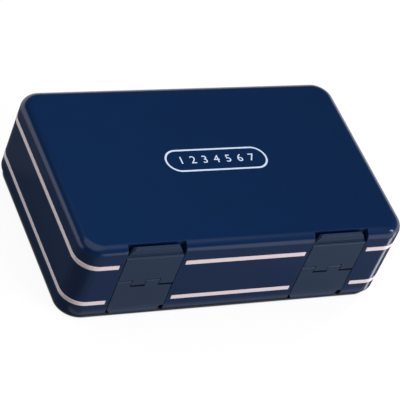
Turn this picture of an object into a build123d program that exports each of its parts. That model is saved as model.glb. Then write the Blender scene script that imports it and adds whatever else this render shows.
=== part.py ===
from build123d import *
from math import acos, atan2, cos, hypot, sin, sqrt
import os

# Weekly pill organizer that opens from both faces. All sizes are in millimetres.
# The origin is the centre of the underside, +X runs along the length, the latches
# face -Y, the hinges face +Y and +Z is up.
# The lower half is the upper half turned half a turn about the Y axis at mid height,
# so both lids are one moulding, and so are all four latch flaps.

# Outer box
length = 160.0
width = 98.4
height = 44.3
plan_corner = 10.0
edge_round = 4.6

# Lids, each a shallow tray with a rib all round that presses on the seal
lid_depth = 9.7
rim_gap = 0.15
lid_wall = 2.1
lid_top = 2.0
rib_inset = 3.2
rib_wall = 1.4

# Case frame between the lids, with a well on each side of its floor
frame_wall = 6.0
middle_floor = 2.0
seal_width = 1.6
seal_side_gap = 0.05
groove_depth = 1.5

# Rose gold bands let into the frame at both rims
band_height = 2.3
band_depth = 0.8
band_proud = 0.1
band_land = 2.0

# Latches on the front, two hooked flaps on one pin, their plates flush with the wall
latch_inset = 34.5
plate_width = 27.0
plate_thick = 2.0
plate_rise = 16.6
plate_side_gap = 0.3
plate_back_gap = 0.3
plate_edge_round = 0.8
knuckle_count = 4
knuckle_depth = 3.3
knuckle_height = 3.7
knuckle_round = 1.1
knuckle_gap = 0.2
relief_radius = 2.65
swing_gap = 0.2

# Hood of a flap, set back from its plate over a finger groove, with a hook behind it
hood_setback = 0.9
hood_thick = 1.5
hood_root = 1.0
hood_face = 4.45
hood_bevel = 0.8
hood_crest = 0.3
hood_round = 0.3
hood_taper = 3.4
finger_depth = 0.4
finger_rise = 1.85
hook_drop = 1.0
hook_thick = 0.8
hook_reach = 0.4
notch_depth = 3.6
catch_gap = 0.05
catch_drop = 0.4
catch_height = 1.2
catch_length = 18.0

# Pins
pin_radius = 0.8
pin_fit = 0.05
pin_bite = 2.0
pin_end_gap = 0.3

# Hinges on the rear, frame knuckle, lid knuckle, frame knuckle
hinge_inset = 34.5
hinge_reach = 2.1
hinge_radius = 1.9
lid_knuckle = 13.0
frame_knuckle = 7.0
hinge_side_gap = 0.3
leaf_height = 4.5
leaf_root = 0.6

# Day cups, seven in a row that fills the well on each side, each with two cells
days = 7
cup_gap = 0.3
cup_end_gap = 0.5
cup_wall = 1.0
cup_floor = 1.0
cup_corner = 1.5
cup_divider = 1.0
cup_scoop = 5.0
cup_top_gap = 0.3

# Places that follow from the sizes above
middle = height / 2
rim_top = height - lid_depth
rim_bottom = lid_depth
lid_edge = rim_top + rim_gap
ceiling = height - lid_top
front = -width / 2
rear = width / 2
latch_x = length / 2 - latch_inset
slot_half = plate_width / 2 + plate_side_gap
plate_inner = front + plate_thick
plate_top = middle + plate_rise
pin_y = front + knuckle_depth / 2
knuckle_pitch = plate_width / knuckle_count
knuckle_corner = hypot(knuckle_depth / 2 - knuckle_round, knuckle_height / 2 - knuckle_round)
knuckle_reach = knuckle_corner + knuckle_round
hood_front = front + hood_setback
hood_back = hood_front + hood_thick
hood_shoulder = plate_top + hood_face
hood_top = hood_shoulder + hood_bevel
hook_tip = hood_back + hook_reach
hook_over = hood_top - hook_drop
hook_under = hook_over - hook_thick
notch_back = front + notch_depth
hinge_x = length / 2 - hinge_inset
hinge_y = rear + hinge_reach
hinge_z = rim_top + rim_gap / 2
hinge_half = lid_knuckle / 2 + hinge_side_gap + frame_knuckle
floor_top = middle + middle_floor / 2
cup_top = ceiling - cup_top_gap
well_length = length - 2 * frame_wall
well_width = width - 2 * frame_wall
day_pitch = (well_length - 2 * cup_end_gap + cup_gap) / days
cup_width = day_pitch - cup_gap
cup_length = well_width - 2 * cup_gap
reach = 1.0


def slab(inset, low, high):
    """Rounded outline of the box, moved in by inset, from low to high."""
    plan = RectangleRounded(length - 2 * inset, width - 2 * inset, plan_corner - inset)
    return extrude(Pos(0, 0, low) * plan, amount=high - low)


def ring(outer_inset, inner_inset, low, high):
    return slab(outer_inset, low, high) - slab(inner_inset, low, high)


def block(x0, x1, y0, y1, z0, z1):
    centre = Pos((x0 + x1) / 2, (y0 + y1) / 2, (z0 + z1) / 2)
    return centre * Box(x1 - x0, y1 - y0, z1 - z0)


def rod(radius, x0, x1, y, z):
    return Pos((x0 + x1) / 2, y, z) * Rot(0, 90, 0) * Cylinder(radius, x1 - x0)


def along_x(section, x0, x1):
    """Section drawn with Y across and Z up."""
    return extrude(Plane.YZ.offset(x0) * section, amount=x1 - x0)


def along_y(section, y0, y1):
    """Section drawn with X across and Z up."""
    return extrude(Plane.XZ.offset(-y1) * section, amount=y1 - y0)


def outline(*points):
    return make_face(Polyline(*points, close=True))


def soften(section, point, radius):
    """Round the one corner of a section that lies nearest to point."""
    corner = section.vertices().sort_by_distance(Vector(*point, 0))[0]
    return fillet(corner, radius)


def turned(piece, x=0):
    """The same piece on the other half of the box."""
    return Pos(x, 0, middle) * Rot(0, 180, 0) * Pos(-x, 0, -middle) * piece


def knuckle_slots(x, first):
    """Room in a flap for the knuckles of its partner, every other place from first.

    The edge of the plate is hollowed round the pin, so that the slot looks dark and deep.
    """
    slots = Part()
    left = x - plate_width / 2
    low = middle - knuckle_reach - reach
    high = middle + sqrt(relief_radius**2 - (knuckle_depth / 2) ** 2)
    for place in range(first, knuckle_count, 2):
        start = left + place * knuckle_pitch
        x0 = start - (knuckle_gap / 2 if place else reach)
        x1 = start + knuckle_pitch + knuckle_gap / 2
        slots += block(x0, x1, front - reach, hook_tip + reach, low, high)
        slots += rod(relief_radius, x0, x1, pin_y, middle)
    return slots


def flap_section():
    """Side view of an upper flap: knuckle, plate, finger groove, hood and hook."""
    root = plate_top - hood_root
    crest = hood_front + hood_bevel
    section = outline(
        (front, middle),
        (front, plate_top),
        (hood_front + finger_depth, plate_top),
        (hood_front, plate_top + finger_rise),
        (hood_front, hood_shoulder),
        (crest, hood_top),
        (crest + hood_crest, hood_top),
        (crest + hood_crest, hook_over),
        (hook_tip, hook_over),
        (hook_tip, hook_under),
        (hood_back, hook_under - hook_reach),
        (hood_back, root),
        (plate_inner, root - (hood_back - plate_inner)),
        (plate_inner, middle),
    )
    section = soften(section, (front, plate_top), plate_edge_round)
    section = soften(section, (hood_front, hood_shoulder), hood_round)
    section = soften(section, (crest, hood_top), hood_round)
    knuckle = RectangleRounded(knuckle_depth, knuckle_height, knuckle_round)
    return section + Pos(pin_y, middle) * knuckle


def make_flap(x):
    """Upper flap, with knuckles at places two and four and a hood that tapers."""
    half = plate_width / 2
    front_view = outline(
        (x - half, middle - knuckle_reach),
        (x + half, middle - knuckle_reach),
        (x + half, plate_top),
        (x + half - hood_taper, hood_top),
        (x - half + hood_taper, hood_top),
        (x - half, plate_top),
    )
    flap = along_x(flap_section(), x - half, x + half)
    flap &= along_y(front_view, front, front + knuckle_depth)
    flap -= knuckle_slots(x, 0)
    return flap - rod(pin_radius + pin_fit, x - half, x + half, pin_y, middle)


def make_latch_pin(x):
    half = slot_half + pin_bite
    return rod(pin_radius, x - half, x + half, pin_y, middle)


def make_hinge_pin(x):
    return rod(pin_radius, x - hinge_half, x + hinge_half, hinge_y, hinge_z)


def hinge_leaf(x0, x1, up):
    """One knuckle with its leaf down (up = -1) or up (up = 1) the rear wall."""
    root = -hinge_reach - leaf_root
    far = hypot(root, leaf_height)
    lean = atan2(leaf_height, root) - acos(hinge_radius / far)
    near = rim_gap / 2
    touch_y = hinge_radius * cos(lean)
    touch_z = hinge_radius * sin(lean)
    section = outline((root, near), (0, near), (touch_y, touch_z), (root, leaf_height))
    section += Circle(hinge_radius)
    section -= Circle(pin_radius + pin_fit)
    if up < 0:
        section = mirror(section, about=Plane.XZ)
    return along_x(Pos(hinge_y, hinge_z) * section, x0, x1)


def lid_leaf(x):
    return hinge_leaf(x - lid_knuckle / 2, x + lid_knuckle / 2, 1)


def frame_leaves(x):
    near = lid_knuckle / 2 + hinge_side_gap
    left = hinge_leaf(x - hinge_half, x - near, -1)
    return left + hinge_leaf(x + near, x + hinge_half, -1)


def lid_catch(x):
    """Low rib in the notch of the lid, behind the tip of the hook."""
    high = hook_under - catch_drop
    half = catch_length / 2
    return block(x - half, x + half, hook_tip + catch_gap, notch_back, high - catch_height, high)


def lid_channels():
    """Straight hollows between the outer wall of the lid and its rib."""
    out_x = length / 2 - lid_wall
    in_x = length / 2 - rib_inset
    out_y = width / 2 - lid_wall
    in_y = width / 2 - rib_inset
    end_x = length / 2 - plan_corner
    end_y = width / 2 - plan_corner
    hollows = block(-end_x, end_x, in_y, out_y, lid_edge, ceiling)
    hollows += block(-end_x, end_x, -out_y, -in_y, lid_edge, ceiling)
    hollows += block(-out_x, -in_x, -end_y, end_y, lid_edge, ceiling)
    hollows += block(in_x, out_x, -end_y, end_y, lid_edge, ceiling)
    end = slot_half + rib_wall
    for x in (-latch_x, latch_x):
        hollows -= block(x - end, x + end, front, notch_back, lid_edge, ceiling)
    return hollows


def make_lid():
    """Upper lid, with a notch for each flap and a knuckle for each hinge."""
    lid = slab(0, lid_edge, height)
    lid = fillet(lid.edges().group_by(Axis.Z)[-1], edge_round)
    lid -= slab(rib_inset + rib_wall, lid_edge, ceiling)
    lid -= lid_channels()
    for x in (-latch_x, latch_x):
        over = height + reach
        lid -= block(x - slot_half, x + slot_half, front - reach, notch_back, rim_top, over)
        lid += lid_catch(x)
    for x in (-hinge_x, hinge_x):
        lid += lid_leaf(x)
    return lid


def make_seal():
    """Silicone ring in the groove of the rim, touched by the rib of the lid."""
    return ring(rib_inset, rib_inset + seal_width, rim_top - groove_depth, lid_edge)


def make_bands():
    """Four stretches of the upper band, which stop short of the latches and hinges."""
    low = rim_top - band_height
    whole = ring(-band_proud, band_depth, low, rim_top)
    at_latch = slot_half + band_land
    at_hinge = hinge_half + band_land
    out_x = length / 2 + reach
    out_y = rear + reach
    right_front = block(latch_x + at_latch, out_x, -out_y, 0, low, rim_top)
    right_rear = block(hinge_x + at_hinge, out_x, 0, out_y, low, rim_top)
    right = right_front + right_rear
    front_half = latch_x - at_latch
    rear_half = hinge_x - at_hinge
    return {
        "front": whole & block(-front_half, front_half, -out_y, 0, low, rim_top),
        "rear": whole & block(-rear_half, rear_half, 0, out_y, low, rim_top),
        "left": whole & mirror(right, about=Plane.YZ),
        "right": whole & right,
    }


def upper_frame_cuts(bands):
    """What is taken out of the upper half of the frame."""
    plan = RectangleRounded(well_length, well_width, cup_corner + cup_gap)
    cuts = extrude(Pos(0, 0, floor_top) * plan, amount=rim_top + reach - floor_top)
    groove_in = rib_inset - seal_side_gap
    groove_out = rib_inset + seal_width + seal_side_gap
    cuts += ring(groove_in, groove_out, rim_top - groove_depth, rim_top + reach)
    for band in bands.values():
        cuts += band
    return cuts


def latch_recess(x):
    """Shallow pocket for both plates, deeper at the knuckles, with holes for the pin."""
    plate_room = plate_inner + plate_back_gap
    knuckle_room = pin_y + knuckle_reach + plate_back_gap
    channel = knuckle_reach + swing_gap
    hole = slot_half + pin_bite + pin_end_gap
    x0 = x - slot_half
    x1 = x + slot_half
    pocket = block(x0, x1, front - reach, plate_room, rim_bottom - reach, rim_top + reach)
    pocket += block(x0, x1, front, knuckle_room, middle - channel, middle + channel)
    pocket += rod(pin_radius + pin_fit, x - hole, x + hole, pin_y, middle)
    return pocket


def make_frame(bands):
    frame = slab(0, rim_bottom, rim_top)
    cuts = upper_frame_cuts(bands)
    frame -= cuts
    frame -= turned(cuts)
    for x in (-latch_x, latch_x):
        frame -= latch_recess(x)
    for x in (-hinge_x, hinge_x):
        leaves = frame_leaves(x)
        frame += leaves
        frame += turned(leaves)
    return frame


def rear_cell():
    """Rear cell of a cup, with a scooped floor at its end so that tablets slide out."""
    near = cup_divider / 2
    far = cup_length / 2 - cup_wall
    floor = floor_top + cup_floor
    tall = cup_top + reach - floor
    section = Pos((near + far) / 2, floor + tall / 2) * Rectangle(far - near, tall)
    section = soften(section, (far, floor), cup_scoop)
    half = cup_width / 2 - cup_wall
    return along_x(section, -half, half)


def make_cup(day):
    """Cup of the upper row that stands on the middle floor, day 0 at the left."""
    plan = Rectangle(cup_width, cup_length)
    plan = chamfer(plan.vertices(), cup_corner)
    cup = extrude(Pos(0, 0, floor_top) * plan, amount=cup_top - floor_top)
    cell = rear_cell()
    cup -= cell
    cup -= mirror(cell, about=Plane.XZ)
    return Pos((day - (days - 1) / 2) * day_pitch, 0, 0) * cup


def make_pieces():
    """Every piece of the organizer by its name."""
    bands = make_bands()
    lid = make_lid()
    seal = make_seal()
    pieces = {
        "case_frame": make_frame(bands),
        "top_lid": lid,
        "bottom_lid": turned(lid),
        "top_seal": seal,
        "bottom_seal": turned(seal),
    }
    partner = {"front": "front", "rear": "rear", "left": "right", "right": "left"}
    for side, band in bands.items():
        pieces["upper_band_" + side] = band
        pieces["lower_band_" + partner[side]] = turned(band)
    for side, x in (("left", -latch_x), ("right", latch_x)):
        flap = make_flap(x)
        pieces[side + "_upper_flap"] = flap
        pieces[side + "_lower_flap"] = turned(flap, x)
        pieces[side + "_latch_pin"] = make_latch_pin(x)
    for side, x in (("left", -hinge_x), ("right", hinge_x)):
        pin = make_hinge_pin(x)
        pieces["top_" + side + "_hinge_pin"] = pin
        pieces["bottom_" + side + "_hinge_pin"] = turned(pin, x)
    for day in range(days):
        cup = make_cup(day)
        pieces["top_cup_" + str(day + 1)] = cup
        pieces["bottom_cup_" + str(days - day)] = turned(cup)
    return pieces


os.makedirs("parts", exist_ok=True)
for name, piece in make_pieces().items():
    piece.label = name
    export_step(piece, "parts/" + name + ".step")
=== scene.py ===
import math

import bmesh
import bpy
from mathutils import Euler, Matrix, Vector


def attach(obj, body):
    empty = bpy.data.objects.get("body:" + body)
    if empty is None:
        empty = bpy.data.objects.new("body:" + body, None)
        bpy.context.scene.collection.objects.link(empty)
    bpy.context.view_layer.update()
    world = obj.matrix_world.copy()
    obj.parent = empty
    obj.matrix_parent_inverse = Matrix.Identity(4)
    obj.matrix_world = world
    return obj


# Weekly pill organizer: navy box that opens from both faces, rose gold bands, slate latch flaps
# Blender works in metres, sizes in the settings are in millimetres unless a note says otherwise
mm = 0.001
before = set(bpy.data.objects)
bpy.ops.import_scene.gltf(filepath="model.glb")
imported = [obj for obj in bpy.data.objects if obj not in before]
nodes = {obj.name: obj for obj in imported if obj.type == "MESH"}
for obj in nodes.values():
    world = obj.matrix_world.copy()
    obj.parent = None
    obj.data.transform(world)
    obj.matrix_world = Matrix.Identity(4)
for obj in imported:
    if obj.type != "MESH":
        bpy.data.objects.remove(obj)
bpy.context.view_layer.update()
print("frame loaded,", len(nodes), "nodes")


def addObject(name, data):
    thing = bpy.data.objects.new(name, data)
    bpy.context.scene.collection.objects.link(thing)
    return thing


cameraSettings = {
    "place": (-418.44, -550.59, 635.72),  # from the centre of the underside
    "turn": (45.791, -17.353, -21.134),  # degrees about X, Y and Z
    "lens": 182.585,
    "sensor": 36.0,
    "clip": (50.0, 20000.0),
}


def makeCamera(settings):
    data = bpy.data.cameras.new("camera")
    data.lens = settings["lens"]
    data.sensor_width = settings["sensor"]
    data.clip_start, data.clip_end = (distance * mm for distance in settings["clip"])
    camera = addObject("camera", data)
    camera.location = Vector(settings["place"]) * mm
    camera.rotation_euler = Euler([math.radians(a) for a in settings["turn"]], "XYZ")
    bpy.context.scene.camera = camera


makeCamera(cameraSettings)
print("camera made")


def fromHex(text):
    # sRGB hex to linear
    parts = [int(text[i:i + 2], 16) / 255 for i in (1, 3, 5)]
    linear = [c / 12.92 if c <= 0.04045 else ((c + 0.055) / 1.055) ** 2.4 for c in parts]
    return (*linear, 1.0)


def addNode(tree, kind, inputs=None, **traits):
    # an input is given a number, a colour, or another node's output to link
    # a colour Mix has its factor in 0, its colours in 6 and 7 and its result in 2
    node = tree.nodes.new(kind)
    for name, value in traits.items():
        setattr(node, name, value)
    for name, value in (inputs or {}).items():
        if isinstance(value, bpy.types.NodeSocket):
            tree.links.new(value, node.inputs[name])
        else:
            node.inputs[name].default_value = value
    return node


def newMaterial(name):
    material = bpy.data.materials.new(name)
    material.use_nodes = True
    tree = material.node_tree
    tree.nodes.clear()
    return material, tree, addNode(tree, "ShaderNodeTexCoord").outputs["Object"]


def makeMouldedAbs(name, look):
    # colour and gloss that wander a little, the fine peel of the mould, and painted shade that
    # darkens inner corners, creases and slots by ambient occlusion
    material, tree, place = newMaterial(name)
    cloud = addNode(tree, "ShaderNodeTexNoise",
                    {"Scale": 1 / (look["cloudSize"] * mm), "Detail": look["cloudDetail"],
                     "Vector": place}).outputs["Fac"]
    peel = addNode(tree, "ShaderNodeTexNoise",
                   {"Scale": 1 / (look["peelSize"] * mm), "Detail": look["peelDetail"],
                    "Vector": place}).outputs["Fac"]
    wander = addNode(tree, "ShaderNodeMix",
                     {0: cloud, 6: fromHex(look["colour"]), 7: fromHex(look["colourFar"])},
                     data_type="RGBA").outputs[2]
    # painted shade: where few directions are open, the colour is mixed toward a dark shade colour
    corner = addNode(tree, "ShaderNodeAmbientOcclusion", {"Distance": look["paintedShadeReach"] * mm},
                     samples=look["paintedShadeSamples"], only_local=True).outputs["AO"]
    shut, clear = look["paintedShadeRange"]
    corner = addNode(tree, "ShaderNodeMapRange",
                     {"Value": corner, "From Min": shut, "From Max": clear}).outputs["Result"]
    colour = addNode(tree, "ShaderNodeMix",
                     {0: corner, 6: fromHex(look["paintedShadeColour"]), 7: wander},
                     data_type="RGBA").outputs[2]
    low, high = look["cloudRange"]
    gloss = addNode(tree, "ShaderNodeMapRange",
                    {"Value": cloud, "From Min": low, "From Max": high,
                     "To Min": look["roughness"] - look["roughSpread"],
                     "To Max": look["roughness"] + look["roughSpread"]}).outputs["Result"]
    bump = addNode(tree, "ShaderNodeBump",
                   {"Height": peel, "Strength": look["peelStrength"],
                    "Distance": look["peelDepth"] * mm}).outputs["Normal"]
    shader = addNode(tree, "ShaderNodeBsdfPrincipled",
                     {"Base Color": colour, "Roughness": gloss, "Normal": bump,
                      "IOR": look["ior"]})
    addNode(tree, "ShaderNodeOutputMaterial", {"Surface": shader.outputs["BSDF"]})
    return material


# ABS, injection moulded in a finely textured mould: deep navy with a soft even sheen
navyLook = {
    "colour": "#0B2549",
    "colourFar": "#0A2245",
    "cloudSize": 22.0,  # slow wander over the moulding
    "cloudDetail": 2.0,
    "cloudRange": (0.3, 0.7),  # where most of the noise lies
    "roughness": 0.175,
    "roughSpread": 0.02,
    "ior": 1.5,
    "peelSize": 0.55,  # the real peel is finer and wouldn't show
    "peelDetail": 3.0,
    "peelStrength": 0.06,
    "peelDepth": 0.05,
    # painted shade in inner corners, creases and slots
    "paintedShadeReach": 2.5,
    "paintedShadeSamples": 16,
    "paintedShadeRange": (0.35, 0.7),  # share of open directions, from darkest to clear
    "paintedShadeColour": "#040A16",
}
# the same ABS from a duller mould on the latch flaps, in a lighter slate that is partly painted
# sheen: the broad sheen of the duller surface is put into its colour
slateAndSheenLook = {
    "colour": "#26344C",
    "colourFar": "#23324A",
    "cloudSize": 12.0,
    "cloudDetail": 2.0,
    "cloudRange": (0.3, 0.7),
    "roughness": 0.22,
    "roughSpread": 0.03,
    "ior": 1.5,
    "peelSize": 0.4,
    "peelDetail": 3.0,
    "peelStrength": 0.08,
    "peelDepth": 0.05,
    # painted shade in inner corners, creases and slots
    "paintedShadeReach": 1.6,
    "paintedShadeSamples": 16,
    "paintedShadeRange": (0.35, 0.7),
    "paintedShadeColour": "#080D18",
}
navyAbs = makeMouldedAbs("mouldedNavyAbs", navyLook)
slateAndSheenAbs = makeMouldedAbs("mouldedSlateAbsPaintedSheen", slateAndSheenLook)

# ABS trim lacquered in pale rose gold: a light pearly skin with a faint grain
bandLook = {
    "colour": "#F4E2E6",
    "colourFar": "#EDDADF",
    "metallic": 0.06,
    "roughness": (0.35, 0.45),
    "grainSize": 0.6,  # coarser than the real grain, so that it shows
    "grainDetail": 2.0,
}


def makeRoseGold(look):
    material, tree, place = newMaterial("lacqueredRoseGold")
    grain = addNode(tree, "ShaderNodeTexNoise",
                    {"Scale": 1 / (look["grainSize"] * mm), "Detail": look["grainDetail"],
                     "Vector": place}).outputs["Fac"]
    colour = addNode(tree, "ShaderNodeMix",
                     {0: grain, 6: fromHex(look["colour"]), 7: fromHex(look["colourFar"])},
                     data_type="RGBA").outputs[2]
    smooth, rough = look["roughness"]
    gloss = addNode(tree, "ShaderNodeMapRange",
                    {"Value": grain, "To Min": smooth, "To Max": rough}).outputs["Result"]
    shader = addNode(tree, "ShaderNodeBsdfPrincipled",
                     {"Base Color": colour, "Roughness": gloss, "Metallic": look["metallic"]})
    addNode(tree, "ShaderNodeOutputMaterial", {"Surface": shader.outputs["BSDF"]})
    return material


roseGold = makeRoseGold(bandLook)

# natural polypropylene, moulded: milky, slightly see-through and finely frosted
cupLook = {
    "colour": "#D3D8DC",
    "roughness": 0.35,
    "ior": 1.49,
    "milk": 0.3,
    "milkDepth": 2.0,
    "frostSize": 0.6,  # coarser than the real frosting, so that it shows
    "frostDetail": 2.0,
    "frostStrength": 0.1,
    "frostDepth": 0.05,
}


def makeCupPlastic(look):
    material, tree, place = newMaterial("mouldedMilkyPolypropylene")
    frost = addNode(tree, "ShaderNodeTexNoise",
                    {"Scale": 1 / (look["frostSize"] * mm), "Detail": look["frostDetail"],
                     "Vector": place}).outputs["Fac"]
    bump = addNode(tree, "ShaderNodeBump",
                   {"Height": frost, "Strength": look["frostStrength"],
                    "Distance": look["frostDepth"] * mm}).outputs["Normal"]
    shader = addNode(tree, "ShaderNodeBsdfPrincipled",
                     {"Base Color": fromHex(look["colour"]), "Roughness": look["roughness"],
                      "IOR": look["ior"], "Subsurface Weight": look["milk"],
                      "Subsurface Scale": look["milkDepth"] * mm, "Normal": bump})
    addNode(tree, "ShaderNodeOutputMaterial", {"Surface": shader.outputs["BSDF"]})
    return material


cupPlastic = makeCupPlastic(cupLook)

# silicone rubber, moulded: matt and a little dusty
sealLook = {
    "colour": "#C9CED6",
    "roughness": (0.5, 0.75),
    "ior": 1.41,
    "dustSize": 1.5,
    "dustDetail": 4.0,
}


def makeSilicone(look):
    material, tree, place = newMaterial("mouldedSilicone")
    dust = addNode(tree, "ShaderNodeTexNoise",
                   {"Scale": 1 / (look["dustSize"] * mm), "Detail": look["dustDetail"],
                    "Vector": place}).outputs["Fac"]
    clean, dusty = look["roughness"]
    gloss = addNode(tree, "ShaderNodeMapRange",
                    {"Value": dust, "To Min": clean, "To Max": dusty}).outputs["Result"]
    shader = addNode(tree, "ShaderNodeBsdfPrincipled",
                     {"Base Color": fromHex(look["colour"]), "Roughness": gloss,
                      "IOR": look["ior"]})
    addNode(tree, "ShaderNodeOutputMaterial", {"Surface": shader.outputs["BSDF"]})
    return material


silicone = makeSilicone(sealLook)

# steel wire, drawn: fine bright lines along it
pinLook = {
    "colour": "#B9BBC0",
    "roughness": (0.2, 0.4),
    "lineSize": 0.15,
    "lineStretch": (0.05, 1.0, 1.0),  # the pins lie along X
}


def makeSteel(look):
    material, tree, place = newMaterial("drawnSteel")
    along = addNode(tree, "ShaderNodeMapping",
                    {"Scale": look["lineStretch"], "Vector": place}).outputs["Vector"]
    lines = addNode(tree, "ShaderNodeTexNoise",
                    {"Scale": 1 / (look["lineSize"] * mm), "Vector": along}).outputs["Fac"]
    bright, dull = look["roughness"]
    gloss = addNode(tree, "ShaderNodeMapRange",
                    {"Value": lines, "To Min": bright, "To Max": dull}).outputs["Result"]
    shader = addNode(tree, "ShaderNodeBsdfPrincipled",
                     {"Base Color": fromHex(look["colour"]), "Roughness": gloss,
                      "Metallic": 1.0})
    addNode(tree, "ShaderNodeOutputMaterial", {"Surface": shader.outputs["BSDF"]})
    return material


drawnSteel = makeSteel(pinLook)

# pad printed ink: thin and matt, bluish white
inkLook = {
    "colour": "#C4D2EA",
    "roughness": (0.4, 0.6),
    "grainSize": 0.3,
}


def makeInk(look):
    material, tree, place = newMaterial("padPrintedInk")
    cover = addNode(tree, "ShaderNodeTexNoise",
                    {"Scale": 1 / (look["grainSize"] * mm), "Vector": place}).outputs["Fac"]
    smooth, rough = look["roughness"]
    gloss = addNode(tree, "ShaderNodeMapRange",
                    {"Value": cover, "To Min": smooth, "To Max": rough}).outputs["Result"]
    shader = addNode(tree, "ShaderNodeBsdfPrincipled",
                     {"Base Color": fromHex(look["colour"]), "Roughness": gloss})
    addNode(tree, "ShaderNodeOutputMaterial", {"Surface": shader.outputs["BSDF"]})
    return material


paleInk = makeInk(inkLook)
print("materials made")


def newGeometryTree(name, sizes):
    # sizes are the tree's own inputs, each with its kind of socket
    tree = bpy.data.node_groups.new(name, "GeometryNodeTree")
    tree.is_modifier = True
    face = tree.interface
    face.new_socket("Geometry", in_out="INPUT", socket_type="NodeSocketGeometry")
    for title, kind in sizes.items():
        face.new_socket(title, in_out="INPUT", socket_type="NodeSocket" + kind)
    face.new_socket("Geometry", in_out="OUTPUT", socket_type="NodeSocketGeometry")
    return tree, addNode(tree, "NodeGroupInput").outputs


def makeEdgeTree(name):
    # marks long sharp edges for the bevel that follows
    tree, start = newGeometryTree(name, {"Angle": "Float", "Length": "Float"})
    angle = addNode(tree, "GeometryNodeInputMeshEdgeAngle").outputs["Unsigned Angle"]
    ends = addNode(tree, "GeometryNodeInputMeshEdgeVertices").outputs
    span = addNode(tree, "ShaderNodeVectorMath", {0: ends["Position 1"], 1: ends["Position 2"]},
                   operation="DISTANCE").outputs["Value"]
    sharp = addNode(tree, "ShaderNodeMath", {0: angle, 1: start["Angle"]},
                    operation="GREATER_THAN").outputs[0]
    longer = addNode(tree, "ShaderNodeMath", {0: span, 1: start["Length"]},
                     operation="GREATER_THAN").outputs[0]
    both = addNode(tree, "ShaderNodeMath", {0: sharp, 1: longer}, operation="MULTIPLY").outputs[0]
    mark = addNode(tree, "GeometryNodeStoreNamedAttribute",
                   {"Name": "bevel_weight_edge", "Geometry": start["Geometry"], "Value": both},
                   data_type="FLOAT", domain="EDGE")
    addNode(tree, "NodeGroupOutput", {"Geometry": mark.outputs["Geometry"]})
    return tree


def makeSmoothTree(name):
    # smooth shading, kept sharp where faces meet at more than the given angle
    tree, start = newGeometryTree(name, {"Angle": "Float"})
    angle = addNode(tree, "GeometryNodeInputMeshEdgeAngle").outputs["Unsigned Angle"]
    sharp = addNode(tree, "FunctionNodeCompare", {"A": angle, "B": start["Angle"]},
                    operation="GREATER_THAN", data_type="FLOAT").outputs["Result"]
    faces = addNode(tree, "GeometryNodeSetShadeSmooth",
                    {"Geometry": start["Geometry"], "Shade Smooth": True}, domain="FACE")
    edges = addNode(tree, "GeometryNodeSetShadeSmooth",
                    {"Geometry": faces.outputs["Geometry"], "Selection": sharp,
                     "Shade Smooth": False}, domain="EDGE")
    addNode(tree, "NodeGroupOutput", {"Geometry": edges.outputs["Geometry"]})
    return tree


edgeTree = makeEdgeTree("markLongSharpEdges")
smoothTree = makeSmoothTree("smoothByAngle")


def treeModifier(piece, tree, **values):
    modifier = piece.modifiers.new(tree.name, "NODES")
    modifier.node_group = tree
    sockets = {s.name: s.identifier for s in tree.interface.items_tree
               if s.item_type == "SOCKET" and s.in_out == "INPUT"}
    for name, value in values.items():
        modifier[sockets[name]] = value


mouldSettings = {
    "weld": 0.004,  # joins the loose triangles of a node
    "flat": 0.4,  # degrees, faces closer than this to one plane become one face
    "sharp": 33.0,  # degrees
    "shortest": 0.45,  # shorter edges keep their corner
    "segments": 3,
    "flatWeight": 100,  # large flats keep their own normal
}


def softenEdges(piece, radius, settings):
    # joined faces, a small moulded radius on the long edges, smooth shading
    weld = piece.modifiers.new("weld", "WELD")
    weld.merge_threshold = settings["weld"] * mm
    plane = piece.modifiers.new("flatFaces", "DECIMATE")
    plane.decimate_type = "DISSOLVE"
    plane.angle_limit = math.radians(settings["flat"])
    sharp = math.radians(settings["sharp"])
    if radius:
        treeModifier(piece, edgeTree, Angle=sharp, Length=settings["shortest"] * mm)
        bevel = piece.modifiers.new("mouldedEdges", "BEVEL")
        bevel.limit_method = "WEIGHT"
        bevel.width = radius * mm
        bevel.segments = settings["segments"]
        bevel.use_clamp_overlap = False
    treeModifier(piece, smoothTree, Angle=sharp)
    even = piece.modifiers.new("evenFlats", "WEIGHTED_NORMAL")
    even.mode = "FACE_AREA"
    even.weight = settings["flatWeight"]
    even.keep_sharp = True


# by a part of the node's name: what it is made of, and the radius of its edges
finishes = {
    "_lid": {"material": navyAbs, "radius": 0.22},
    "case_frame": {"material": navyAbs, "radius": 0.12},
    "_flap": {"material": slateAndSheenAbs, "radius": 0.25},
    "_band_": {"material": roseGold, "radius": 0.12},
    "_cup_": {"material": cupPlastic, "radius": 0.15},
    "_seal": {"material": silicone, "radius": 0},
    "_pin": {"material": drawnSteel, "radius": 0},
}


def dressNodes(settings):
    for name, node in nodes.items():
        finish = next(finish for part, finish in settings.items() if part in name)
        node.data.materials.clear()
        node.data.materials.append(finish["material"])
        softenEdges(node, finish["radius"], mouldSettings)


dressNodes(finishes)
print("CAD nodes dressed")


def meshOf(holder):
    # its finished shape as a plain mesh, the holder goes
    bpy.context.view_layer.update()
    finished = holder.evaluated_get(bpy.context.evaluated_depsgraph_get())
    mesh = bpy.data.meshes.new_from_object(finished)
    bpy.data.objects.remove(holder)
    return mesh


def joinMeshes(name, parts, material, join=0.001):
    # parts are pairs of mesh and place, points nearer than join become one
    whole = bmesh.new()
    for mesh, place in parts:
        mesh.transform(place)
        whole.from_mesh(mesh)
    bmesh.ops.remove_doubles(whole, verts=whole.verts, dist=join * mm)
    bmesh.ops.recalc_face_normals(whole, faces=whole.faces)
    joined = bpy.data.meshes.new(name)
    whole.to_mesh(joined)
    whole.free()
    joined.materials.clear()
    joined.materials.append(material)
    for face in joined.polygons:
        face.material_index = 0
        face.use_smooth = False
    return joined


def addPiece(name, mesh, body):
    piece = addObject(name, mesh)
    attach(piece, body)


numberSettings = {
    "days": range(1, 8),
    "middleDay": 4,
    "digitPart": 0.73,  # a digit's height as a part of the type size
    "steps": 5,  # per curve of a digit
}


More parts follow.
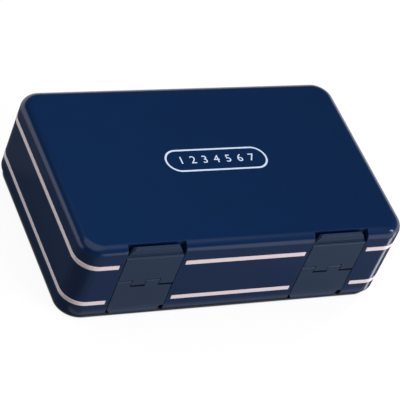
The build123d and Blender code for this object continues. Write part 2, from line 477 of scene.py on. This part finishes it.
def numberMesh(digit, height, thick, settings):
    data = bpy.data.curves.new("digit" + str(digit), "FONT")
    data.body = str(digit)
    data.align_x = "CENTER"
    data.align_y = "CENTER"
    data.size = height / settings["digitPart"] * mm
    data.extrude = thick / 2 * mm
    data.resolution_u = settings["steps"]
    return meshOf(addObject("holder", data))


printSettings = {
    "centre": (1.3, 0.9),  # middle of the capsule outline on the upper lid
    "halfStraight": 18.85,
    "radius": 6.77,
    "line": 0.9,
    "steps": 16,  # per bend
    "bow": 0.5523,  # handle length by radius that bends a curve to a quarter circle
    "straight": 0.33,  # handle length by length that keeps a side straight
    "digitHeight": 4.6,
    "digitPitch": 5.9,
    "lidTop": 44.3,
    "thick": 0.03,
    "proud": 0.0225,
}


def addCapsule(data, radius, settings):
    # closed outline with straight long sides and half round ends
    half, bow = settings["halfStraight"], settings["bow"] * radius
    spots = [(-half, -radius, bow, 0), (half, -radius, bow, 0), (half + radius, 0, 0, bow),
             (half, radius, -bow, 0), (-half, radius, -bow, 0), (-half - radius, 0, 0, -bow)]
    spline = data.splines.new("BEZIER")
    spline.bezier_points.add(len(spots) - 1)
    for point, (x, y, dx, dy) in zip(spline.bezier_points, spots):
        point.co = Vector((x, y, 0)) * mm
        point.handle_left_type = point.handle_right_type = "FREE"
        point.handle_left = Vector((x - dx, y - dy, 0)) * mm
        point.handle_right = Vector((x + dx, y + dy, 0)) * mm
    for first, second in ((0, 1), (3, 4)):
        a, b = spline.bezier_points[first], spline.bezier_points[second]
        a.handle_right = a.co.lerp(b.co, settings["straight"])
        b.handle_left = b.co.lerp(a.co, settings["straight"])
    spline.use_cyclic_u = True


def makeLidPrint(settings):
    # plain capsule outline with the days' numbers, printed on the upper lid
    ring = bpy.data.curves.new("capsuleOutline", "CURVE")
    ring.dimensions = "2D"
    ring.fill_mode = "BOTH"
    ring.extrude = settings["thick"] / 2 * mm
    ring.resolution_u = settings["steps"]
    for radius in (settings["radius"], settings["radius"] - settings["line"]):
        addCapsule(ring, radius, settings)
    x, y = settings["centre"]
    z = settings["lidTop"] + settings["proud"] - settings["thick"] / 2
    level = Matrix.Translation(Vector((x, y, z)) * mm)
    parts = [(meshOf(addObject("holder", ring)), level)]
    for day in numberSettings["days"]:
        shift = (day - numberSettings["middleDay"]) * settings["digitPitch"]
        number = numberMesh(day, settings["digitHeight"], settings["thick"], numberSettings)
        parts.append((number, level @ Matrix.Translation(Vector((shift, 0, 0)) * mm)))
    addPiece("lidPrint", joinMeshes("lidPrint", parts, paleInk), "top_lid")


makeLidPrint(printSettings)
print("lid print made")

cupNumberSettings = {
    "pitch": 147.3 / 7,  # from day to day, seven in the width of the cups
    "height": 7.0,
    "proud": 0.15,
    "cellMiddle": 18.0,  # from the box's middle line
    "upperFloor": 24.15,
    "lowerFloor": 20.15,
}


def makeCupNumbers(settings):
    # raised number in each cell, the lower ones read right when the box is turned over
    over = Matrix.Rotation(math.pi, 4, "Y")
    parts = []
    for day in numberSettings["days"]:
        x = (day - numberSettings["middleDay"]) * settings["pitch"]
        for y in (-settings["cellMiddle"], settings["cellMiddle"]):
            top = Matrix.Translation(Vector((x, y, settings["upperFloor"])) * mm)
            low = Matrix.Translation(Vector((-x, y, settings["lowerFloor"])) * mm) @ over
            for place in (top, low):
                number = numberMesh(day, settings["height"], 2 * settings["proud"],
                                    numberSettings)
                parts.append((number, place))
    addPiece("cupNumbers", joinMeshes("cupNumbers", parts, cupPlastic), "case")


makeCupNumbers(cupNumberSettings)
print("cup numbers made")


def makeEjectorTree(name):
    # grid of low round marks where the ejector pins pushed the lid out of the mould
    tree, start = newGeometryTree(name, {
        "Columns": "Int", "Rows": "Int", "Length": "Float", "Width": "Float", "Radius": "Float",
        "Thick": "Float", "Level": "Float", "Sides": "Int", "Material": "Material"})
    grid = addNode(tree, "GeometryNodeMeshGrid",
                   {"Size X": start["Length"], "Size Y": start["Width"],
                    "Vertices X": start["Columns"], "Vertices Y": start["Rows"]})
    rise = addNode(tree, "ShaderNodeCombineXYZ", {"Z": start["Level"]})
    spots = addNode(tree, "GeometryNodeSetPosition",
                    {"Geometry": grid.outputs["Mesh"], "Offset": rise.outputs["Vector"]})
    mark = addNode(tree, "GeometryNodeMeshCylinder",
                   {"Vertices": start["Sides"], "Radius": start["Radius"],
                    "Depth": start["Thick"]})
    flat = addNode(tree, "GeometryNodeSetShadeSmooth",
                   {"Geometry": mark.outputs["Mesh"], "Shade Smooth": False})
    spread = addNode(tree, "GeometryNodeInstanceOnPoints",
                     {"Points": spots.outputs["Geometry"], "Instance": flat.outputs["Geometry"]})
    solid = addNode(tree, "GeometryNodeRealizeInstances",
                    {"Geometry": spread.outputs["Instances"]})
    dressed = addNode(tree, "GeometryNodeSetMaterial",
                      {"Geometry": solid.outputs["Geometry"], "Material": start["Material"]})
    addNode(tree, "NodeGroupOutput", {"Geometry": dressed.outputs["Geometry"]})
    return tree


ejectorSettings = {
    "columns": 6,
    "rows": 4,
    "step": 26.0,
    "radius": 2.2,
    "sides": 40,
    "proud": 0.08,
    "upperCeiling": 42.3,
    "lowerCeiling": 2.0,
}


def makeEjectorMarks(settings):
    tree = makeEjectorTree("ejectorMarks")
    length, width = ((settings[way] - 1) * settings["step"] * mm for way in ("columns", "rows"))
    for body, ceiling in (("top_lid", "upperCeiling"), ("bottom_lid", "lowerCeiling")):
        holder = addObject("holder", bpy.data.meshes.new("holder"))
        treeModifier(holder, tree, Columns=settings["columns"], Rows=settings["rows"],
                     Length=length, Width=width, Radius=settings["radius"] * mm,
                     Thick=2 * settings["proud"] * mm, Level=settings[ceiling] * mm,
                     Sides=settings["sides"], Material=navyAbs)
        addPiece(body + "EjectorMarks", meshOf(holder), body)


makeEjectorMarks(ejectorSettings)
print("ejector marks made")


def sector(tree, way, side, spread):
    # one toward the side, given in degrees from +X, and nought past its spread to either hand
    flat = addNode(tree, "ShaderNodeVectorMath", {0: way, 1: (1, 1, 0)},
                   operation="MULTIPLY").outputs["Vector"]
    flat = addNode(tree, "ShaderNodeVectorMath", {0: flat},
                   operation="NORMALIZE").outputs["Vector"]
    angle = math.radians(side)
    middle = (math.cos(angle), math.sin(angle), 0)
    toward = addNode(tree, "ShaderNodeVectorMath", {0: flat, 1: middle},
                     operation="DOT_PRODUCT").outputs["Value"]
    near, far = (math.cos(math.radians(a)) for a in spread)
    return addNode(tree, "ShaderNodeMapRange",
                   {"Value": toward, "From Min": far, "From Max": near},
                   interpolation_type="SMOOTHSTEP").outputs["Result"]


# the one side where neither floor nor surround is white to mirrored rays
dimSettings = {
    "side": -125.0,  # degrees from +X
    "spread": (36.0, 54.0),  # degrees to either hand, full and faded out
}

# pale paper, and a painted pattern of light and shade that only mirrored rays see on it: the
# box's shadow near it, a pale strip at its foot and the strip light's streak
floorSettings = {
    "half": 3000.0,
    "colour": "#606060",
    "lift": 0.9,  # brings it up to white
    # painted shade: under the box the floor isn't lifted, a contact shadow at the box's foot
    "underside": (68.3, 37.15),  # it isn't lifted under the box
    "undersideRound": (10.4, 10.9),
    # painted reflection: a pale strip along the foot of the long walls for mirrored rays
    "foot": 49.2,  # from here on it mirrors pale along the long walls
    "footStart": (0.6, 2.0),
    "footEnd": (3.9, 5.4),
    "footLevel": 0.5,
    "corner": 77.0,  # half the length of that strip
    "cornerFade": 6.0,
    # painted shade: the box's shadow on the floor as mirrored rays see it, dim in front and dark
    # nearer in, white further out
    "poolLevel": 0.1,  # in front of the long wall it mirrors dim
    "poolFade": 2.0,
    "open": (90.0, 170.0),  # further out it grows white
    "openScale": (0.6, 1.0, 1.0),  # later toward the short sides
    "streak": 3.6,  # bright streak from the right front corner
    "streakFoot": (73.0, -48.0, 0.0),
    "streakSide": -20.0,  # degrees from +X
    "streakSpread": (6.0, 11.0),  # degrees to either hand
}


def openFloor(tree, place, settings):
    # white further out, except on the dim side; nearer in it stays dark, a painted shadow of the
    # box that mirrored rays see
    reach = addNode(tree, "ShaderNodeVectorMath", {0: place, 1: settings["openScale"]},
                    operation="MULTIPLY").outputs["Vector"]
    reach = addNode(tree, "ShaderNodeVectorMath", {0: reach}, operation="LENGTH").outputs["Value"]
    start, end = (distance * mm for distance in settings["open"])
    white = addNode(tree, "ShaderNodeMapRange",
                    {"Value": reach, "From Min": start, "From Max": end},
                    interpolation_type="SMOOTHSTEP").outputs["Result"]
    dim = sector(tree, place, dimSettings["side"], dimSettings["spread"])
    lit = addNode(tree, "ShaderNodeMath", {0: 1.0, 1: dim}, operation="SUBTRACT").outputs[0]
    return addNode(tree, "ShaderNodeMath", {0: white, 1: lit}, operation="MULTIPLY").outputs[0]


def footStrip(tree, across, along, settings):
    # painted reflection: a pale strip at the foot of both long walls, seen only by mirrored rays,
    # that puts light lines on the lower edges
    away = addNode(tree, "ShaderNodeMath", {0: along, 1: settings["foot"] * mm},
                   operation="SUBTRACT").outputs[0]
    start, full = (distance * mm for distance in settings["footStart"])
    near = addNode(tree, "ShaderNodeMapRange",
                   {"Value": away, "From Min": start, "From Max": full,
                    "To Max": settings["footLevel"]}).outputs["Result"]
    fade, end = (distance * mm for distance in settings["footEnd"])
    beyond = addNode(tree, "ShaderNodeMapRange",
                     {"Value": away, "From Min": fade, "From Max": end, "To Min": 1.0,
                      "To Max": 0.0}).outputs["Result"]
    corner = settings["corner"] * mm
    within = addNode(tree, "ShaderNodeMapRange",
                     {"Value": across, "From Min": corner,
                      "From Max": corner + settings["cornerFade"] * mm, "To Min": 1.0,
                      "To Max": 0.0}).outputs["Result"]
    strip = addNode(tree, "ShaderNodeMath", {0: near, 1: beyond}, operation="MULTIPLY").outputs[0]
    return addNode(tree, "ShaderNodeMath", {0: strip, 1: within}, operation="MULTIPLY").outputs[0]


def frontPool(tree, parts, settings):
    # painted shade: dim floor in front of the long front wall, the box's shadow on it as mirrored
    # rays see it
    front, left = -settings["foot"] * mm, -settings["corner"] * mm
    before = addNode(tree, "ShaderNodeMapRange",
                     {"Value": parts["Y"], "From Min": front,
                      "From Max": front - settings["poolFade"] * mm,
                      "To Max": settings["poolLevel"]}).outputs["Result"]
    inside = addNode(tree, "ShaderNodeMapRange",
                     {"Value": parts["X"], "From Min": left - settings["cornerFade"] * mm,
                      "From Max": left}).outputs["Result"]
    return addNode(tree, "ShaderNodeMath", {0: before, 1: inside},
                   operation="MULTIPLY").outputs[0]


def cornerStreak(tree, place, settings):
    # the strip light's streak on the floor
    shift = [-distance * mm for distance in settings["streakFoot"]]
    way = addNode(tree, "ShaderNodeVectorMath", {0: place, 1: shift},
                  operation="ADD").outputs["Vector"]
    beam = sector(tree, way, settings["streakSide"], settings["streakSpread"])
    return addNode(tree, "ShaderNodeMath", {0: beam, 1: settings["streak"]},
                   operation="MULTIPLY").outputs[0]


def besideBox(tree, across, along, settings):
    # nought under the box's rounded footprint, one beside it: where it is nought the floor isn't
    # lifted and stays dark grey, a painted contact shadow
    past = []
    for distance, half in zip((across, along), settings["underside"]):
        over = addNode(tree, "ShaderNodeMath", {0: distance, 1: half * mm},
                       operation="SUBTRACT").outputs[0]
        past.append(addNode(tree, "ShaderNodeMath", {0: over, 1: 0.0},
                            operation="MAXIMUM").outputs[0])
    out = addNode(tree, "ShaderNodeCombineXYZ", {"X": past[0], "Y": past[1]}).outputs["Vector"]
    out = addNode(tree, "ShaderNodeVectorMath", {0: out}, operation="LENGTH").outputs["Value"]
    start, end = (distance * mm for distance in settings["undersideRound"])
    return addNode(tree, "ShaderNodeMapRange",
                   {"Value": out, "From Min": start, "From Max": end}).outputs["Result"]


def makeFloorMaterial(settings):
    # matt grey, lifted to white for the camera and to a painted pattern of light and shade for
    # mirrored rays
    material, tree, place = newMaterial("paleFloor")
    parts = addNode(tree, "ShaderNodeSeparateXYZ", {"Vector": place}).outputs
    across = addNode(tree, "ShaderNodeMath", {0: parts["X"]}, operation="ABSOLUTE").outputs[0]
    along = addNode(tree, "ShaderNodeMath", {0: parts["Y"]}, operation="ABSOLUTE").outputs[0]
    pattern = openFloor(tree, place, settings)
    for light in (footStrip(tree, across, along, settings), frontPool(tree, parts, settings),
                  cornerStreak(tree, place, settings)):
        pattern = addNode(tree, "ShaderNodeMath", {0: pattern, 1: light},
                          operation="MAXIMUM").outputs[0]
    path = addNode(tree, "ShaderNodeLightPath").outputs
    mirrored = addNode(tree, "ShaderNodeMath",
                       {0: path["Is Glossy Ray"], 1: path["Is Transmission Ray"]},
                       operation="MAXIMUM").outputs[0]
    mirrored = addNode(tree, "ShaderNodeMath", {0: mirrored, 1: pattern},
                       operation="MULTIPLY").outputs[0]
    seen = addNode(tree, "ShaderNodeMath", {0: path["Is Camera Ray"], 1: mirrored},
                   operation="MAXIMUM").outputs[0]
    # painted shade: the lift is withheld under the box
    beside = besideBox(tree, across, along, settings)
    seen = addNode(tree, "ShaderNodeMath", {0: seen, 1: beside}, operation="MULTIPLY").outputs[0]
    lift = addNode(tree, "ShaderNodeMath", {0: seen, 1: settings["lift"]},
                   operation="MULTIPLY").outputs[0]
    glow = addNode(tree, "ShaderNodeEmission", {"Color": (1, 1, 1, 1), "Strength": lift})
    matt = addNode(tree, "ShaderNodeBsdfDiffuse", {"Color": fromHex(settings["colour"])})
    both = addNode(tree, "ShaderNodeAddShader", {0: glow.outputs[0], 1: matt.outputs[0]})
    addNode(tree, "ShaderNodeOutputMaterial", {"Surface": both.outputs[0]})
    material.cycles.emission_sampling = "NONE"  # it is seen, but is no lamp
    return material


def makeFloor(settings):
    half = settings["half"] * mm
    corners = [(-half, -half, 0), (half, -half, 0), (half, half, 0), (-half, half, 0)]
    mesh = bpy.data.meshes.new("floor")
    mesh.from_pydata(corners, [], [(0, 1, 2, 3)])
    mesh.materials.append(makeFloorMaterial(settings))
    floor = addObject("floor", mesh)


makeFloor(floorSettings)
print("floor made")

worldSettings = {
    "surround": 1.1,  # white surround that stands all round, except on the dim side
    "surroundTop": (10.0, 20.0),  # degrees above the floor, where it fades
    "strip": 1.8,  # tall strip light
    "stripTop": (26.0, 31.0),
    "stripSide": -30.0,  # degrees from +X
    "stripSpread": (6.0, 11.0),  # degrees to either hand
    "sky": 0.03,
    "glow": 0.75,  # large soft ceiling light
    "glowWay": (-0.165, -0.095, 0.98),
    "glowSpread": (28.0, 46.0),  # degrees round its middle
    "glowFill": 0.27,  # part of it that lights matt surfaces
}


def makeWorld(settings):
    # white surround with one dim side, a strip light, dim walls above, soft ceiling light
    world = bpy.data.worlds.new("studio")
    world.use_nodes = True
    tree = world.node_tree
    tree.nodes.clear()
    way = addNode(tree, "ShaderNodeTexCoord").outputs["Generated"]
    rise = addNode(tree, "ShaderNodeSeparateXYZ", {"Vector": way}).outputs["Z"]
    dim = sector(tree, way, dimSettings["side"], dimSettings["spread"])
    lit = addNode(tree, "ShaderNodeMath", {0: 1.0, 1: dim}, operation="SUBTRACT").outputs[0]
    beam = sector(tree, way, settings["stripSide"], settings["stripSpread"])
    lights = []
    for source, top, part in (("surround", "surroundTop", lit), ("strip", "stripTop", beam)):
        start, end = (math.sin(math.radians(a)) for a in settings[top])
        level = addNode(tree, "ShaderNodeMapRange",
                        {"Value": rise, "From Min": start, "From Max": end,
                         "To Min": settings[source], "To Max": 0.0},
                        interpolation_type="SMOOTHSTEP").outputs["Result"]
        lights.append(addNode(tree, "ShaderNodeMath", {0: level, 1: part},
                              operation="MULTIPLY").outputs[0])
    low = addNode(tree, "ShaderNodeMath", {0: lights[0], 1: lights[1]},
                  operation="MAXIMUM").outputs[0]
    toGlow = addNode(tree, "ShaderNodeVectorMath", {0: way, 1: settings["glowWay"]},
                     operation="DOT_PRODUCT").outputs["Value"]
    near, far = (math.cos(math.radians(a)) for a in settings["glowSpread"])
    high = addNode(tree, "ShaderNodeMapRange",
                   {"Value": toGlow, "From Min": far, "From Max": near,
                    "To Min": settings["sky"], "To Max": settings["glow"]},
                   interpolation_type="SMOOTHSTEP").outputs["Result"]
    path = addNode(tree, "ShaderNodeLightPath").outputs
    fill = addNode(tree, "ShaderNodeMapRange",
                   {"Value": path["Is Diffuse Ray"], "To Min": 1.0,
                    "To Max": settings["glowFill"]}).outputs["Result"]
    high = addNode(tree, "ShaderNodeMath", {0: high, 1: fill}, operation="MULTIPLY").outputs[0]
    studio = addNode(tree, "ShaderNodeMath", {0: low, 1: high}, operation="ADD").outputs[0]
    seen = addNode(tree, "ShaderNodeMath",
                   {0: path["Is Camera Ray"], 1: path["Is Transmission Ray"]},
                   operation="MAXIMUM").outputs[0]
    # a number Mix has its numbers in 2 and 3, and seen directly the world is plain white
    strength = addNode(tree, "ShaderNodeMix", {0: seen, 2: studio, 3: 1.0}).outputs[0]
    light = addNode(tree, "ShaderNodeBackground", {"Color": (1, 1, 1, 1), "Strength": strength})
    addNode(tree, "ShaderNodeOutputWorld", {"Surface": light.outputs[0]})
    world.cycles.sampling_method = "NONE"
    bpy.context.scene.world = world


makeWorld(worldSettings)
print("surround made")

# four soft lamps with no mirror image, and a small key lamp that glints on the edges
lampSettings = {
    "overhead": {
        "place": (-132, -31, 250), "aim": (-60, -30, 40), "size": (300, 300),
        "watts": 0.45, "colour": "#FFFFFF", "mirrored": False},
    "backLight": {
        "place": (1130, 650, 920), "aim": (0, 0, 40), "size": (300, 300),
        "watts": 14.0, "colour": "#FFFFFF", "mirrored": False},
    "rightStrip": {
        "place": (830, -1000, 400), "aim": (0, 0, 20), "size": (900, 200),
        "watts": 15.4, "colour": "#FFFFFF", "mirrored": False},
    "leftStrip": {
        "place": (-1050, 900, 150), "aim": (0, 0, 20), "size": (900, 200),
        "watts": 5.2, "colour": "#E2F8F8", "mirrored": False},
    "keyLamp": {
        "place": (800, -447, 600), "aim": (75, -45, 40), "size": (70, 70),
        "watts": 1.7, "colour": "#FFFFFF", "mirrored": True},
}


def makeLamps(settings):
    for name, lamp in settings.items():
        data = bpy.data.lights.new(name, "AREA")
        data.shape = "RECTANGLE"
        data.size, data.size_y = (side * mm for side in lamp["size"])
        data.energy = lamp["watts"]
        data.color = fromHex(lamp["colour"])[:3]
        light = addObject(name, data)
        light.location = Vector(lamp["place"]) * mm
        toward = Vector(lamp["aim"]) - Vector(lamp["place"])
        light.rotation_euler = toward.to_track_quat("-Z", "Y").to_euler()
        light.visible_glossy = lamp["mirrored"]


makeLamps(lampSettings)
bpy.context.scene.view_settings.view_transform = "Standard"
print("lamps made")
